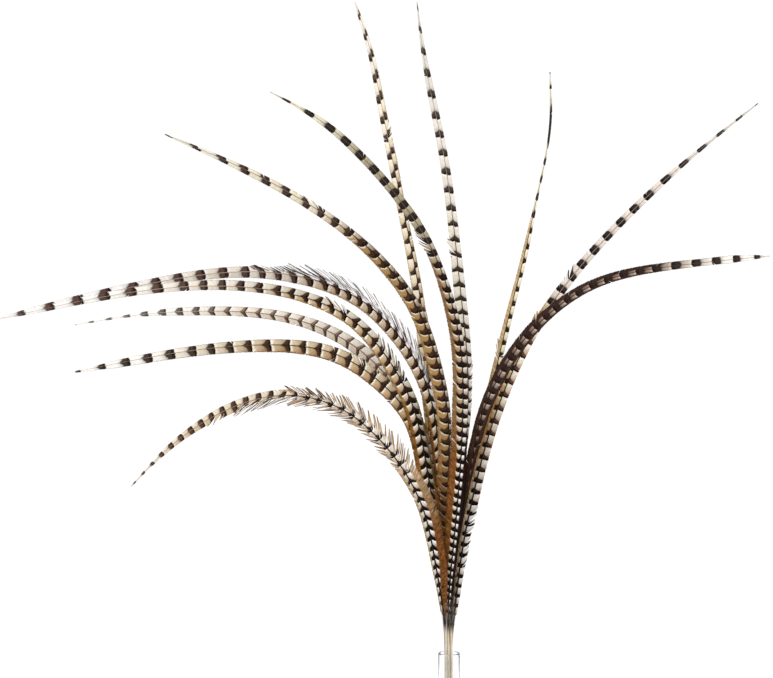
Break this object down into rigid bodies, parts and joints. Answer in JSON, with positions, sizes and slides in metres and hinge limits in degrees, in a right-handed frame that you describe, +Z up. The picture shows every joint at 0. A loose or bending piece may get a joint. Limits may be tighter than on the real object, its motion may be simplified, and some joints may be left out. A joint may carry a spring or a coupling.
{
  "type": "bunch of pheasant tail feathers in a glass bottle vase",
  "caption": "Long barred pheasant tail feathers that fan and droop from the neck of a clear glass bottle vase.",
  "frame": {"origin": "centre of the vase's flat base, on the surface it stands on", "axes": "+Z up along the vase's axis; the bunch is seen from -Y, with most feathers drooping towards -X"},
  "size_m": [1.2446, 0.4208, 1.2593],
  "materials": {
    "clear_glass": "clear polished glass",
    "barred_vane": "cream and tan feather vane with dark brown bars",
    "dark_vane": "dark brown feather vane with small pale patches",
    "pale_vane": "pale cream feather vane with faint brown chevrons"
  },
  "bodies": {
    "root": {"vase": "clear_glass", "feather_left_frayed": "barred_vane", "feather_centre_front": "barred_vane", "feather_dark_right": "dark_vane", "feather_slant_left": "barred_vane", "feather_upright_right": "barred_vane", "feather_slant_right": "barred_vane", "feather_left_upper": "barred_vane", "feather_left_high": "barred_vane", "feather_thin_right": "barred_vane", "feather_left_middle": "barred_vane", "feather_left_pale": "pale_vane", "feather_upright_left": "barred_vane"}
  },
  "joints": []
}
